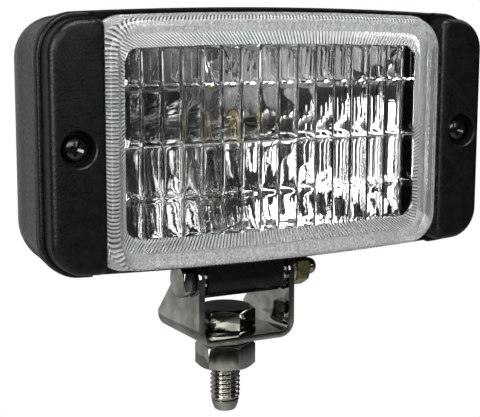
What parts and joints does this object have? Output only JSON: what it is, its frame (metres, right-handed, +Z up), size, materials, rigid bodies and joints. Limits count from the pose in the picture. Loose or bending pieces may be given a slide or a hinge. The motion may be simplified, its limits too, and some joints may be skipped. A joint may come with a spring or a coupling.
{
  "type": "fog light",
  "caption": "Rectangular halogen fog light with a fluted glass lens and black housing, tilting and swivelling on a small U-bracket with a single stud mount.",
  "frame": {"origin": "on the mounting bolt's axis, at the underside of the U-bracket's base", "axes": "+Z up along the mounting bolt, -Y the way the lamp shines, +X to the right for a person facing the lens"},
  "size_m": [0.1456, 0.07, 0.1297],
  "materials": {
    "black_textured_plastic": "fine-textured moulded plastic, black",
    "lens_glass": "clear pressed glass, fluted",
    "mirror_coating": "vacuum-metallised, mirror bright",
    "black_screw": "glossy black zinc plate",
    "black_rubber": "matt black rubber",
    "stainless": "polished stainless steel",
    "bright_steel": "bright plated steel",
    "yellow_zinc": "yellow passivated zinc plate",
    "bulb_glass": "clear quartz",
    "tungsten": "tungsten coil and nickel supports",
    "lead_sleeve": "black insulated lead"
  },
  "bodies": {
    "mounting": {"mounting_bolt": "stainless", "mounting_lock_washer": "bright_steel", "mounting_nut": "stainless"},
    "bracket": {"u_bracket": "stainless", "pivot_bolt": "stainless", "pivot_lock_washer": "bright_steel", "pivot_nut": "yellow_zinc"},
    "head": {"rear_housing": "black_textured_plastic", "left_end_cap": "black_textured_plastic", "right_end_cap": "black_textured_plastic", "left_cap_screw": "black_screw", "right_cap_screw": "black_screw", "left_tooth_washer": "bright_steel", "right_tooth_washer": "bright_steel", "pivot_sleeve": "bright_steel", "lens": "lens_glass", "lens_gasket": "black_rubber", "reflector": "mirror_coating", "bulb_glass": "bulb_glass", "bulb_filament": "tungsten", "bulb_base": "bright_steel", "bulb_clip": "bright_steel", "bulb_lead": "lead_sleeve", "cable_grommet": "black_rubber"}
  },
  "joints": [
    {"name": "bracket_swivel", "type": "hinge", "parent": "mounting", "child": "bracket", "pos_m": [0, 0, 0], "axis": [0, 0, 1], "continuous": true},
    {"name": "head_tilt", "type": "hinge", "parent": "bracket", "child": "head", "pos_m": [0, -0.0081, 0.0207], "axis": [1, 0, 0], "range_deg": [-45, 45]}
  ]
}
